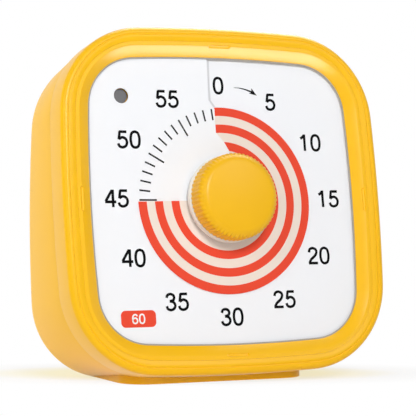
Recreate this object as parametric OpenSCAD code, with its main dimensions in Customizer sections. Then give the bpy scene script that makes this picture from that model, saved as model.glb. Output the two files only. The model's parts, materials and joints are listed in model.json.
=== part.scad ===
// Desk visual countdown timer. A rounded square housing leans back on a flat foot.
// A striped time disc winds through the slit of the dial card when the knob turns,
// and a geared drive, a circuit board and a single cell sit behind the dial.
// Millimetres. +Z is up, the dial looks towards -Y, and the origin is on the desk
// under the middle of the housing.

/* [Housing] */
// Half width of the housing at its front band
body_half = 42.4; // [40:0.1:48]
// Corner radius of the housing outline
body_corner = 21.9; // [20:0.1:24]
// Radius of the outward bow of each side
side_bow = 469; // [300:1:900]
// Backward lean of the dial in degrees
lean = 8.35; // [4:0.05:12]
// Gap between the front band and the desk
front_lift = 2.45; // [1.5:0.05:5]
// Depth from the dial plane to the back, at the height of the dial centre
body_depth = 33.3; // [32:0.1:44]
// Wall thickness of the housing shells
wall = 2.0; // [1.5:0.1:2.2]
// Radius of the rounded back edge
back_round = 6.5; // [5:0.5:9]
// Depth of the parting line behind the dial plane
seam_depth = 6.8; // [6:0.1:8]

/* [Dial] */
// Radius of the time disc
disc_r = 23; // [19:0.5:25]
// Thickness of the time disc sheet
disc_t = 0.15; // [0.1:0.01:0.2]
// Thickness of the dial card sheet
card_t = 0.2; // [0.15:0.01:0.25]
// Free gap between the card and the disc, on each side
sheet_gap = 0.125; // [0.1:0.005:0.2]
// Minutes shown on the dial, from 0 at the top round to the leading edge of the disc
minutes_set = 45; // [5:1:55]

/* [Knob] */
// Radius over the ribs of the knob
knob_r = 10.5; // [8:0.1:12]
// Height of the knob front above the dial plane
knob_top = 8.7; // [7:0.1:12]
// Number of grip ribs round the knob
knob_ribs = 60; // [30:1:80]
// Radius of the drive shaft
shaft_r = 3; // [2.5:0.1:3.2]
// Running clearance of the shaft in its bores
run_gap = 0.05; // [0.03:0.01:0.08]

/* [Drive] */
// Gear module of the wheel and the pinion
gear_module = 0.4; // [0.35:0.01:0.42]
// Teeth on the drive wheel
wheel_teeth = 48; // [40:1:50]
// Teeth on the pinion
pinion_teeth = 12; // [10:1:14]

/* [Cell and controls] */
// Radius of the cell
cell_r = 7.25; // [7:0.05:7.25]
// Length of the cell over its button
cell_length = 50.5; // [48:0.1:51]
// Travel of the sound slider
slider_travel = 4; // [2:0.5:5]

/* [Hidden] */

yellow = [0.957, 0.729, 0.141];
white = [0.97, 0.97, 0.98];
red = [0.945, 0.337, 0.255];
smoke = [0.42, 0.42, 0.43];
steel = [0.78, 0.79, 0.8];
brass = [0.85, 0.7, 0.35];
black = [0.12, 0.12, 0.13];
green = [0.1, 0.35, 0.2];
copper = [0.72, 0.4, 0.2];
blue = [0.2, 0.35, 0.6];
pale = [0.93, 0.93, 0.9];

// Dial frame: origin at the dial centre, x to the right, y up the dial, z out of the dial.
dial_z = body_half * cos(lean) + front_lift;
dial_y = -0.36 * body_depth;
// World plane of the upright back.
back_y = dial_y + body_depth * cos(lean);

// Steps of the bowed sides and of the round corners of every lofted outline.
side_steps = 4;
corner_steps = 12;
// How fast the corner radius and the bow of the sides shrink as the outline steps inward.
corner_rate = 1.29;
bow_rate = 12.5;
// Steps round the helical sheets.
sheet_steps = 72;

// Levels along the dial axis, from the front inwards.
crest = 1.5;
lip_top = 0.05;
lip_low = -0.25;
pitch = 2 * (sheet_gap + card_t / 2 + disc_t / 2);
lip_gap = 0.1;
card_low = lip_low - lip_gap - card_t / 2 - pitch;
plate_gap = 0.85;
plate_top = card_low - plate_gap;
plate_t = 1.3;
plate_low = plate_top - plate_t;
disc_turn = 6 * minutes_set;
// The disc stops this many degrees short of the minute, so that its mark stays in sight.
disc_trim = 1.1;

// Offsets inward from the outside of the front band.
open_off = 3.5;
lip_off = 7.1;
card_off = 6.0;
back_off = 1.5;

// Front band: its rounded edge, the fine groove behind it and the joint with the rear shell.
edge_r = 1.45;
edge_level = 0.33;
groove_w = 0.55;
groove_d = 0.25;
seam_bevel = 0.2;
joint_gap = 0.15;
skirt_off = wall + 0.2;
tongue_off = skirt_off + joint_gap;
tongue_t = 1.0;
tongue_h = 1.6;

// Bezel ring: gap to the front shell, rounding of that seam, top of the slope and pry notches.
bezel_gap = 0.12;
seam_round = 0.14;
slope_off = 4.6;
slope_round = 0.25;
skirt_in = 5.2;
notch_r = 0.55;
notch_len = 5;

// Screw towers: the front and rear ones meet face to face, and the heads sit in wells.
tower_in = 12.4;
tower_x = body_half - tower_in;
tower_r = 3.5;
tower_meet = -16;
screw_seat = -20;
screw_r = 1.4;
screw_length = 12;
head_r = 2.7;
head_h = 1.9;
well_r = head_r + 0.3;
driver_slot = 0.6;

// Foot, seen from above: half width, where it starts behind the front band and where it ends.
foot_in = 17.9;
foot_half = body_half - foot_in;
foot_start = 9.2;
foot_end = 4;
foot_y0 = dial_y - body_half * sin(lean) + foot_start * cos(lean);
foot_y1 = back_y - foot_end;
foot_round = 9;
foot_sink = 0.85;
foot_h = front_lift + foot_sink;

// Shaft stack: knob, collar, disc sleeve with its keys, and the thinner tail.
collar_gap = 1.65;
collar_low = card_low + collar_gap;
collar_t = 1.7;
knob_low = collar_low + collar_t;
knob_wall = 2.2;
socket_top = knob_top - knob_wall;
collar_r = knob_r + 0.2;
rib_depth = 0.35;
knob_round = 2.2;
knob_dome = 0.4;
hub_wall = 1.5;
hub_r = shaft_r + hub_wall;
hub_gap = 0.4;
hub_top = collar_low - hub_gap;
hub_sink = 0.3;
hub_low = plate_top - hub_sink;
key_w = 1.2;
key_h = 0.6;
key_gap = 0.1;
tail_r = shaft_r / 2;
card_hole = hub_r + 2;

// Cell bay in the world frame, centred on x = 0, with its door flush in the back.
cell_play = 0.55;
contact_room = 3.55;
contact_t = 0.4;
contact_w = 10;
contact_h = 12;
leaf_w = 9;
cell_y = back_y - wall - cell_play - cell_r;
cell_z = 24;
bay_x = cell_length / 2 + contact_room;
bay_wall = 1.6;
bay_lift = 0.8;
bay_front = cell_y - cell_r - bay_wall;
bay_top = cell_z + cell_r + bay_lift + bay_wall;
door_x = bay_x + 0.8;
door_z = cell_r + 1.55;
door_gap = 0.2;
scoop_r = 7;
scoop_depth = 0.8;
button_r = 2.75;
button_h = 1.2;

// Drive: its cover stands just clear of the cell bay, and what is inside shares the room.
bay_gap = 0.3;
case_wall = 1.2;
cover_t = 1.2;
cover_low = -cos(lean) * (bay_front - bay_gap - dial_y - (bay_top - dial_z) * tan(lean));
case_low = cover_low + cover_t;
case_front = plate_low - case_wall;
room = case_front - case_low;
gear_gap = gear_module * (wheel_teeth + pinion_teeth) / 2;
wheel_low = case_low + 0.53 * room;
wheel_t = 0.153 * room;
wheel_top = wheel_low + wheel_t;
flange_top = wheel_top + 0.09 * room;
flange_r = shaft_r + 1.6;
washer_r = shaft_r + 2.2;
washer_t = 0.5;
pinion_hub = 1.4;
arbor_r = 0.8;
pinion_phase = 180 + 180 / pinion_teeth;
case_x = 20;
case_up = 15;
case_down = 21;
coil_r = 0.265 * room;
coil_len = 16;
core_len = 24;
core_t = 0.163 * room;

// Circuit board with the lamp near the top left corner of the dial.
lamp = [16.5 - body_half, body_half - 17.2];
lamp_r = 1.85;
lens_low = -4.4;
board_top = -9;
board_t = 1.2;
board_low = board_top - board_t;
board_clear = 4;
board_in = 8.4;
board_half = 23;
board_mid = -7;
board_from = [board_mid - board_half, case_up + board_clear];
board_to = [board_mid + board_half, body_half - board_in];
post_r = 2;
post_in = 3;
post_x = [-20, 8];
post_v = board_to[1] - post_in;

// Sounder and sound slider on the back wall, level with each other.
sound_at = [-15, dial_z + 15.6];
buzzer_r = 7.2;
buzzer_h = 4.2;
flange_w = 1.3;
sound_hole_r = 0.8;
sound_step = 3;
slider_at = [17, dial_z + 15.6];
stem_w = 4.8;
stem_h = 2.6;
stem_play = 0.6;
slot_w = stem_w + slider_travel + 2 * stem_play;
slot_h = stem_h + stem_play;
recess_rim = 1.9;
recess_depth = 0.8;
grip_w = 0.9;
grip_h = 0.7;
switch_h = 5;
switch_end = 2.8;
switch_side = 1.9;
switch_room = 2.2;

module dial_frame() translate([0, dial_y, dial_z]) rotate([90 - lean, 0, 0]) children();

// Centre of the corner arc of a square with bowed sides.
function corner_mid(w, rc, rs) = ((w - rs) + sqrt(2 * pow(rs - rc, 2) - pow(w - rs, 2))) / 2;
function arc_points(cx, cy, r, a0, a1, n) =
    [for (i = [0 : n - 1]) let (a = a0 + (a1 - a0) * i / n) [cx + r * cos(a), cy + r * sin(a)]];
function side_and_corner(w, rc, rs) = let (c = corner_mid(w, rc, rs), t = atan2(c, c - w + rs))
    concat(arc_points(w - rs, 0, rs, -t, t, side_steps),
           arc_points(c, c, rc, t, 90 - t, corner_steps));
function turned(p, a) = [p[0] * cos(a) - p[1] * sin(a), p[0] * sin(a) + p[1] * cos(a)];
// Outline of the housing family: the corners tighten faster than the sides as it steps inward.
function corner_at(off) = body_corner - corner_rate * off;
function bow_at(off) = side_bow - bow_rate * off;
function outline(off) = let (quarter = side_and_corner(body_half - off, corner_at(off), bow_at(off)))
    [for (q = [0 : 3]) for (p = quarter) turned(p, 90 * q)];
// The outline set at a height, in a plane that tips by slope along y.
function ring(off, z, slope = 0) = [for (p = outline(off)) [p[0], p[1], z + slope * p[1]]];

// Skin over a stack of rings, closed by flat ends, or into a loop.
module loft(rings, loop = false) {
    n = len(rings[0]);
    m = len(rings);
    polyhedron(
        points = [for (r = rings) for (p = r) p],
        faces = concat(
            [for (j = [0 : m - (loop ? 1 : 2)]) for (i = [0 : n - 1])
                let (a = j * n + i, b = j * n + (i + 1) % n,
                     k = ((j + 1) % m) * n, c = k + i, d = k + (i + 1) % n)
                each [[a, c, d], [a, d, b]]],
            loop ? [] : [[for (i = [0 : n - 1]) i], [for (i = [n - 1 : -1 : 0]) (m - 1) * n + i]]),
        convexity = 6);
}

// Quarter round from the side to the back, as [offset, depth] pairs.
function back_arc(off, depth, r, steps) =
    [for (i = [0 : steps]) let (a = 90 * i / steps) [off + r * (1 - cos(a)), -depth + r * (1 - sin(a))]];

// Runs its children at the four screw towers.
module at_towers() for (q = [0 : 3]) rotate(90 * q) translate([tower_x, tower_x, 0]) children();

// Height of the middle of the dial card at a clockwise angle from the top.
function card_mid(a) = card_low + pitch * a / 360;

// Short posts that carry the edge of the dial card, each as high as the card is there.
module card_posts() for (q = [0 : 3]) for (s = [-12, 12]) {
    p = turned([body_half - lip_off - 0.5, s], 90 * q);
    a = (atan2(p[0], p[1]) + 360) % 360;
    translate([p[0], p[1], plate_top - 0.3])
        cylinder(r = 1.1, h = card_mid(a) - card_t / 2 - plate_top + 0.3, $fn = 20);
}

function flip(v) = [for (i = [len(v) - 1 : -1 : 0]) v[i]];

// Front shell: band with a fine groove, opening for the bezel, and the plate behind the dial.
front_profile = concat(
    [[skirt_off, plate_low], [skirt_off, -seam_depth],
     [seam_bevel + 0.1, -seam_depth], [0.1, seam_bevel - seam_depth]],
    [for (a = [0 : 22.5 : 90]) [edge_r * (1 - cos(a)), edge_level + edge_r * sin(a)]],
    let (x = edge_r + 0.15, top = edge_level + edge_r)
        [[x, top - groove_d], [x + groove_w - 0.15, top - groove_d], [x + groove_w, top - 0.02],
         [open_off - seam_round, crest + 0.02], [open_off, crest - seam_round], [open_off, plate_top]]);

module front_shell() color(yellow) dial_frame() difference() {
    union() {
        loft([for (p = front_profile) ring(p[0], p[1])]);
        at_towers() translate([0, 0, tower_meet])
            cylinder(r = tower_r, h = plate_low - tower_meet + 0.3, $fn = 32);
        card_posts();
    }
    at_towers() translate([0, 0, tower_meet - 1])
        cylinder(r = screw_r, h = screw_seat + screw_length - tower_meet + 1, $fn = 24);
    translate([0, 0, plate_low - 1]) cylinder(r = hub_r + 0.7, h = plate_t + 2, $fn = 48);
    translate([lamp[0], lamp[1], plate_low - 1]) cylinder(r = lamp_r - 0.1, h = plate_t + 2, $fn = 32);
}

// Foot that fills the wedge between the leaning housing and the desk.
module foot() {
    f = [[-foot_half, foot_y0], [foot_half, foot_y0], [foot_half, foot_y1], [-foot_half, foot_y1]];
    linear_extrude(foot_h) polygon([for (i = [0 : 3])
        let (p = f[(i + 3) % 4], q = f[i], r = f[(i + 1) % 4],
             u = (p - q) / norm(p - q), v = (r - q) / norm(r - q))
        for (k = [0 : 5]) let (t = k / 5) q + foot_round * ((1 - t) * (1 - t) * u + t * t * v)]);
}

// Rear shell: tapered cup with an upright back, a foot, screw towers and the cell bay.
rear_rim = [[0.35, -seam_depth - seam_bevel], [0.35 + seam_bevel, -seam_depth], [tongue_off, -seam_depth],
    [tongue_off, tongue_h - seam_depth], [tongue_off + tongue_t, tongue_h - seam_depth],
    [tongue_off + tongue_t, -seam_depth - 1]];

module rear_cup() dial_frame() loft(concat(
    [for (p = flip(back_arc(back_off, body_depth, back_round, 6))) ring(p[0], p[1], tan(lean))],
    [for (p = rear_rim) ring(p[0], p[1])],
    [for (p = back_arc(wall + back_off, body_depth - wall, back_round - wall, 5))
        ring(p[0], p[1], tan(lean))]));

// Screw towers and posts for the circuit board, grown out of the back wall.
module rear_towers() intersection() {
    dial_frame() {
        at_towers() translate([0, 0, -2 * body_depth])
            cylinder(r = tower_r + 0.5, h = 2 * body_depth + tower_meet, $fn = 36);
        for (x = post_x) translate([x, post_v, -2 * body_depth])
            cylinder(r = post_r, h = 2 * body_depth + board_low, $fn = 24);
    }
    translate([-2 * body_half, -2 * body_half, -body_half])
        cube([4 * body_half, 2 * body_half + back_y - wall + 0.3, 4 * body_half]);
}

module screw_wells() dial_frame() at_towers() {
    translate([0, 0, -2 * body_depth]) cylinder(r = well_r, h = 2 * body_depth + screw_seat, $fn = 32);
    translate([0, 0, screw_seat - 1]) cylinder(r = screw_r + 0.2, h = tower_meet - screw_seat + 2, $fn = 24);
}

// One hole in the middle, a ring of six and a ring of twelve.
module sound_holes() translate([sound_at[0], back_y + 2, sound_at[1]]) rotate([90, 0, 0])
    for (k = [0 : 2]) for (i = [0 : max(1, 6 * k) - 1])
        rotate(60 * i / max(1, k)) translate([sound_step * k, 0, 0])
            cylinder(r = sound_hole_r, h = wall + 4, $fn = 16);

// Slot of the sound slider in a shallow recess.
module slider_slot() translate([slider_at[0], back_y, slider_at[1]]) {
    translate([-slot_w / 2, -wall - 1, -slot_h / 2]) cube([slot_w, wall + 3, slot_h]);
    translate([-slot_w / 2 - 2 * recess_rim, -recess_depth, -slot_h / 2 - recess_rim])
        cube([slot_w + 4 * recess_rim, 3, slot_h + 2 * recess_rim]);
}

module rear_shell() color(yellow) difference() {
    union() {
        rear_cup();
        foot();
        // Walls of the cell bay.
        translate([-bay_x - bay_wall, bay_front, cell_z - cell_r - bay_wall])
            cube([2 * (bay_x + bay_wall), back_y - wall + 0.5 - bay_front,
                  bay_top - cell_z + cell_r + bay_wall]);
        rear_towers();
    }
    // Room for the cell, open to the back, and the seat of the door round it.
    translate([-bay_x, cell_y - cell_r, cell_z - cell_r]) cube([2 * bay_x, 60, 2 * cell_r + bay_lift]);
    translate([-door_x - door_gap, back_y - wall, cell_z - door_z - door_gap])
        cube([2 * (door_x + door_gap), 20, 2 * (door_z + door_gap)]);
    thumb_scoop();
    screw_wells();
    sound_holes();
    slider_slot();
    // Everything below the desk line is cut off flat.
    translate([-2 * body_half, -2 * body_half, -body_half]) cube([4 * body_half, 4 * body_half, body_half]);
}

// Bezel ring: lip over the card, slope, narrow crest and a skirt down to the plate.
module bezel_ring() color(yellow) dial_frame() difference() {
    outer = open_off + bezel_gap;
    loft([for (p = [[lip_off, lip_low], [lip_off, lip_top], [slope_off, crest - 0.12],
        [slope_off - slope_round, crest], [outer + seam_round, crest], [outer, crest - seam_round],
        [outer, plate_top], [skirt_in, plate_top], [skirt_in, lip_low]]) ring(p[0], p[1])], true);
    // Pry notches in the crest, in the middle of each side.
    for (q = [0 : 3]) rotate(90 * q) translate([body_half - slope_off + slope_round, 0, crest])
        rotate([90, 0, 0]) translate([0, 0, -notch_len / 2]) cylinder(r = notch_r, h = notch_len, $fn = 24);
}

// The slit in the card as radius and clockwise angle: it steps twice on its way out to the edge.
slit = [[card_hole, 14], [12.26, 8.5], [16.76, -5.04], [22.63, -3.73], [24.9, -6.79], [34.5, -4.63]];
// Distance from the centre to the card's edge at a clockwise angle.
function rim(a) = let (m = (a % 90 + 90) % 90, b = m > 45 ? 90 - m : m,
    w = body_half - card_off, rc = corner_at(card_off), rs = bow_at(card_off),
    c = corner_mid(w, rc, rs), t = atan2(c, c - w + rs), side = atan2(w - rs + rs * cos(t), rs * sin(t)))
    90 - b > side ? (w - rs) * cos(b) + sqrt(rs * rs - pow((w - rs) * sin(b), 2))
                  : c * (cos(b) + sin(b)) + sqrt(rc * rc - pow(c * (cos(b) - sin(b)), 2));

// Sheet given by rows of points, each row a radial line, thickened to both sides.
module sheet(rows, thickness) {
    n = len(rows);
    m = len(rows[0]);
    s = n * m;
    cells = [for (i = [0 : n - 2]) for (j = [0 : m - 2]) i * m + j];
    edge = concat([for (j = [0 : m - 1]) j], [for (i = [1 : n - 1]) i * m + m - 1],
        [for (j = [m - 2 : -1 : 0]) (n - 1) * m + j], [for (i = [n - 2 : -1 : 1]) i * m]);
    polyhedron(
        points = [for (side = [1, -1]) for (r = rows) for (p = r) [p[0], p[1], p[2] + side * thickness / 2]],
        faces = concat(
            [for (a = cells) each [[a, a + 1, a + m + 1], [a, a + m + 1, a + m]]],
            [for (c = cells) let (a = s + c) each [[a, a + m + 1, a + 1], [a, a + m, a + m + 1]]],
            [for (k = [0 : len(edge) - 1]) let (a = edge[k], b = edge[(k + 1) % len(edge)])
                each [[a, a + s, b + s], [a, b + s, b]]]),
        convexity = 4);
}

// Dial card: climbs one pitch per turn, so its left flap stands in front of its right one at the slit.
module dial_card() color(white) dial_frame() difference() {
    sheet([for (k = [0 : sheet_steps]) let (turn = 360 * k / sheet_steps)
        [for (j = [0 : len(slit) - 1])
            let (a = turn + slit[j][1], r = j < len(slit) - 1 ? slit[j][0] : rim(a))
            [r * sin(a), r * cos(a), card_mid(a)]]], card_t);
    translate([lamp[0], lamp[1], -5]) cylinder(r = lamp_r, h = 10, $fn = 40);
}

// Time disc: one full turn of the same helix, half a pitch over the card, ending at the set minute.
module time_disc() color(red) dial_frame()
    sheet([for (k = [0 : sheet_steps])
        let (a = disc_turn - 360 + disc_trim + (360 - 2 * disc_trim) * k / sheet_steps)
        [for (r = [hub_r, disc_r]) [r * sin(a), r * cos(a), card_mid(a) + pitch / 2]]], disc_t);

// Sleeve of the disc, keyed to the shaft so that it turns with it and is free to slide.
module disc_hub() color(white) dial_frame() difference() {
    translate([0, 0, hub_low]) cylinder(r = hub_r, h = hub_top - hub_low, $fn = 64);
    translate([0, 0, hub_low - 1]) cylinder(r = shaft_r + run_gap, h = hub_top - hub_low + 2, $fn = 64);
    for (q = [0, 180]) rotate(q) translate([0, -key_w / 2 - key_gap, hub_low - 1])
        cube([shaft_r + key_h + key_gap, key_w + 2 * key_gap, hub_top - hub_low + 2]);
}

// Smoked window of the lamp, sunk below the card and resting on its lamp.
module indicator_lens() color(smoke) dial_frame() translate([lamp[0], lamp[1], lens_low]) {
    cylinder(r = lamp_r - 0.1, h = plate_top + 0.7 - lens_low, $fn = 40);
    cylinder(r = lamp_r + 0.7, h = plate_low - lens_low, $fn = 40);
}

// Lamp: collar, barrel and domed end on the circuit board.
module indicator_led() color(smoke) dial_frame() translate([lamp[0], lamp[1], 0]) rotate_extrude($fn = 32)
    let (r = lamp_r - 0.45)
    polygon(concat(
        [[0, board_top], [r + 0.3, board_top], [r + 0.3, board_top + 0.8], [r, board_top + 0.8]],
        [for (a = [0 : 15 : 90]) [r * cos(a), lens_low - r + r * sin(a)]]));

// Circuit board, notched round the screw towers.
module circuit_board() color(green) dial_frame() difference() {
    translate([board_from[0], board_from[1], board_low])
        cube([board_to[0] - board_from[0], board_to[1] - board_from[1], board_t]);
    at_towers() translate([0, 0, board_low - 1]) cylinder(r = tower_r + 1.5, h = board_t + 2, $fn = 32);
}

// Sounder on the back wall behind the sound holes.
module buzzer() color(black) translate([sound_at[0], back_y - wall, sound_at[1]]) rotate([90, 0, 0]) {
    cylinder(r = buzzer_r + flange_w, h = buzzer_h / 3.5, $fn = 48);
    cylinder(r = buzzer_r, h = buzzer_h, $fn = 48);
}

// Body of the sound switch behind its slot.
module switch_case() color(steel) translate([slider_at[0], back_y - wall, slider_at[1]]) difference() {
    inner = stem_w + slider_travel + stem_play;
    high = stem_h + 2 * switch_side;
    translate([-inner / 2 - switch_end, -switch_h, -high / 2])
        cube([inner + 2 * switch_end, switch_h, high]);
    translate([-inner / 2, -switch_room, -stem_h / 2 - 0.2]) cube([inner, 2 * switch_room, stem_h + 0.4]);
}

// Sound slider: foot in the switch, stem through the slot and a ridged grip.
module sound_slider() color(black)
    translate([slider_at[0] - slider_travel / 2, back_y - wall, slider_at[1]]) {
        foot_at = 0.3 - switch_room;
        top = wall - recess_depth;
        translate([-stem_w / 2, foot_at, -stem_h / 2]) cube([stem_w, top - foot_at, stem_h]);
        for (k = [-1 : 1]) translate([stem_w / 3 * k - grip_w / 2, top - 0.01, -stem_h / 2])
            cube([grip_w, grip_h, stem_h]);
    }

// Box of the drive, and the space inside its walls, from one level to another.
module drive_box(low, high, inset = 0) translate([inset - case_x, inset - case_down, low])
    cube([2 * (case_x - inset), case_down + case_up - 2 * inset, high - low]);

// Bores for the shaft and the pinion's arbor.
module bearings(r) {
    translate([0, 0, -body_depth]) cylinder(r = r + run_gap, h = 2 * body_depth, $fn = 64);
    translate([gear_gap, 0, -body_depth]) cylinder(r = arbor_r + run_gap, h = 2 * body_depth, $fn = 32);
}

// Case of the drive: front wall with the bearings, and side walls.
module movement_case() color(white) dial_frame() difference() {
    drive_box(case_low, plate_low);
    drive_box(case_low - 1, case_front, case_wall);
    bearings(shaft_r);
}

// Cover of the drive with the rear bearings and a rim that drops into the case.
module movement_cover() color(white) dial_frame() difference() {
    union() {
        drive_box(cover_low, case_low);
        difference() {
            drive_box(case_low - 0.1, case_low + 0.8, case_wall);
            drive_box(case_low - 0.2, case_low + 2, case_wall + 1);
        }
    }
    bearings(tail_r);
}

// Coil of the stepping drive on its core, along the lower wall of the case.
module drive_coil() color(copper) dial_frame()
    translate([0, -case_down + case_wall + coil_r + 0.6, case_front - 0.408 * room]) {
        rotate([0, 90, 0]) translate([0, 0, -coil_len / 2]) cylinder(r = coil_r, h = coil_len, $fn = 36);
        for (s = [-1, 1]) translate([s * coil_len / 2 - 0.5, -coil_r - 0.4, -coil_r - 0.4])
            cube([1, 2 * coil_r + 0.8, coil_r + 0.4 + 0.408 * room]);
        translate([-core_len / 2, -core_t / 2, -core_t / 2]) cube([core_len, core_t, core_t]);
    }

// Cell with its raised button towards the plate contact.
module cell() color(blue) translate([0, cell_y, cell_z]) rotate([0, 90, 0]) rotate_extrude($fn = 64)
    let (end = cell_length / 2, neck = end - button_h)
    polygon([[0, -end], [cell_r - 0.7, -end], [cell_r, 0.7 - end], [cell_r, neck - 0.8],
        [cell_r - 0.9, neck], [button_r, neck], [button_r, end - 0.2], [button_r - 0.2, end], [0, end]]);

// Plate contact with a pressed boss against the button of the cell.
module contact_plate() color(steel) translate([bay_x, cell_y, cell_z]) {
    translate([-contact_t, -contact_w / 2, -contact_h / 2]) cube([contact_t, contact_w, contact_h]);
    rotate([0, -90, 0]) translate([0, 0, contact_t - 0.1])
        cylinder(r1 = button_r + 0.65, r2 = button_r - 0.95, h = contact_room - contact_t + 0.1, $fn = 32);
}

// Leaf contact: a folded strip that presses on the flat end of the cell.
module contact_leaf() color(steel) translate([-bay_x, cell_y, cell_z - leaf_w / 2]) linear_extrude(leaf_w)
    let (h = contact_h / 2)
    polygon([[0, -h], [contact_t, -h], [contact_t, h - 3.4], [contact_room - contact_t, -h / 2 - 0.2],
        [contact_room, -h / 2], [contact_room, 0.6 - h / 2], [contact_t, h - 2.1], [contact_t, h - 1],
        [0, h - 1]]);

// Case screws: pan heads in the wells, shanks through into the front towers.
module case_screws() color(steel) dial_frame() at_towers() difference() {
    union() {
        translate([0, 0, screw_seat - head_h])
            cylinder(r1 = head_r - 0.5, r2 = head_r, h = head_h - 1.2, $fn = 32);
        translate([0, 0, screw_seat - 1.2]) cylinder(r = head_r, h = 1.2, $fn = 32);
        translate([0, 0, screw_seat - 0.1]) cylinder(r = screw_r, h = screw_length - 0.4, $fn = 24);
    }
    for (q = [0, 90]) rotate(q) translate([-1.5, -driver_slot / 2, screw_seat - head_h - 0.5])
        cube([3, driver_slot, 1.4]);
}

// Knob: ribbed side, a generous round at the front edge and a slightly domed face.
module ribbed(r, depth, count) polygon([for (i = [0 : 4 * count - 1])
    let (a = 90 * i / count, q = r - (i % 4 < 2 ? 0 : depth)) [q * cos(a), q * sin(a)]]);

module knob() color(yellow) dial_frame() difference() {
    face = knob_r - knob_round;
    intersection() {
        translate([0, 0, knob_low]) linear_extrude(knob_top - knob_low + 1)
            ribbed(knob_r, rib_depth, knob_ribs);
        rotate_extrude($fn = 96) polygon(concat([[0, knob_low], [knob_r + 0.3, knob_low]],
            [for (a = [0 : 15 : 75])
                [face + 0.06, knob_top - knob_dome - knob_round] + knob_round * [cos(a), sin(a)]],
            [for (i = [1 : 6]) let (t = 1 - i / 6) [face * t, knob_top - knob_dome * t * t]]));
    }
    translate([0, 0, knob_low - 1]) cylinder(r = shaft_r, h = socket_top - knob_low + 1, $fn = 64);
}

// Pale collar under the knob.
module knob_collar() color(pale) dial_frame() difference() {
    rotate_extrude($fn = 96)
        polygon([[0, collar_low], [collar_r - 0.4, collar_low], [collar_r, collar_low + 0.4],
            [collar_r, knob_low - 0.35], [collar_r - 0.35, knob_low], [0, knob_low]]);
    translate([0, 0, collar_low - 1]) cylinder(r = shaft_r, h = knob_low - collar_low + 2, $fn = 64);
}

// Drive shaft: knob end, two keys for the disc sleeve, a flange over the wheel and a thinner tail.
module drive_shaft() color(steel) dial_frame() {
    seat = wheel_top + 0.1;
    tail = wheel_low - washer_t - 0.4;
    rotate_extrude($fn = 64) polygon([[0, socket_top], [shaft_r, socket_top], [shaft_r, flange_top],
        [flange_r, flange_top], [flange_r, seat], [shaft_r, seat], [shaft_r, tail], [tail_r, tail],
        [tail_r, cover_low], [0, cover_low]]);
    for (q = [0, 180]) rotate(q) translate([shaft_r - 0.5, -key_w / 2, hub_low - 0.15])
        cube([key_h + 0.5, key_w, hub_top - hub_low + 0.35]);
}

// Spring washer that presses the wheel against the flange, so that the knob can slip past the drive.
module clutch_washer() color(brass) dial_frame() translate([0, 0, wheel_low - 0.1 - washer_t]) difference() {
    cylinder(r = washer_r, h = washer_t, $fn = 48);
    translate([0, 0, -1]) cylinder(r = shaft_r, h = washer_t + 2, $fn = 64);
}

// Outline of a gear with plain tapered teeth, from root to tip in shares of the module.
tooth = [[-0.30, -1.2], [-0.20, 0], [-0.10, 0.8], [0.10, 0.8], [0.20, 0], [0.30, -1.2]];
module gear(z) polygon([for (i = [0 : z - 1]) for (p = tooth)
    let (r = gear_module * (z / 2 + p[1]), a = (i + p[0]) * 360 / z) [r * cos(a), r * sin(a)]]);

// Drive wheel, lightened by five round windows and free on the shaft.
module drive_wheel() color(brass) dial_frame() difference() {
    translate([0, 0, wheel_low]) linear_extrude(wheel_t) gear(wheel_teeth);
    translate([0, 0, wheel_low - 1]) cylinder(r = shaft_r + run_gap, h = wheel_t + 2, $fn = 64);
    for (i = [0 : 4]) rotate(72 * i) translate([wheel_teeth * gear_module * 0.36, 0, wheel_low - 1])
        cylinder(r = 1.5, h = wheel_t + 2, $fn = 24);
}

// Pinion on its arbor, meshed with the wheel.
module drive_pinion() color(brass) dial_frame() translate([gear_gap, 0, 0]) {
    translate([0, 0, wheel_low - 0.3]) linear_extrude(wheel_t + 0.6) rotate(pinion_phase) gear(pinion_teeth);
    translate([0, 0, case_low + 0.224 * room]) cylinder(r = pinion_hub, h = 0.612 * room, $fn = 32);
    translate([0, 0, cover_low]) cylinder(r = arbor_r, h = plate_low - cover_low, $fn = 32);
}

// Round dish across the top edge of the door, where a thumb pulls it off.
module thumb_scoop() translate([0, back_y - scoop_depth, cell_z + door_z]) rotate([-90, 0, 0])
    cylinder(r = scoop_r, h = scoop_depth + 2, $fn = 48);

// Door of the cell bay, flush with the back, with two pads that keep the cell in its seat.
module battery_door() color(yellow) difference() {
    translate([0, back_y - wall, cell_z]) {
        translate([-door_x, 0, -door_z]) cube([2 * door_x, wall, 2 * door_z]);
        for (s = [-1, 1]) translate([s * cell_length * 0.3 - 0.6, 0.1 - cell_play, -3])
            cube([1.2, cell_play, 6]);
    }
    thumb_scoop();
}

front_shell();
rear_shell();
bezel_ring();
dial_card();
indicator_lens();
indicator_led();
circuit_board();
buzzer();
switch_case();
movement_case();
movement_cover();
drive_coil();
cell();
contact_plate();
contact_leaf();
case_screws();
knob();
knob_collar();
drive_shaft();
clutch_washer();
time_disc();
disc_hub();
drive_wheel();
drive_pinion();
battery_door();
sound_slider();
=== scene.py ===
# %% [markdown]
# # A small visual countdown timer
# The timer is a leaning, rounded square housing of moulded plastic with a white minute dial. A striped
# disc winds through a slit in the dial card and shows the minutes that are left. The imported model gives
# every piece its real place, so this script only makes the surfaces and finishes that are seen.

# %% Load the frame
import json
import math

import bmesh
import bpy
from mathutils import Matrix, Vector


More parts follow.
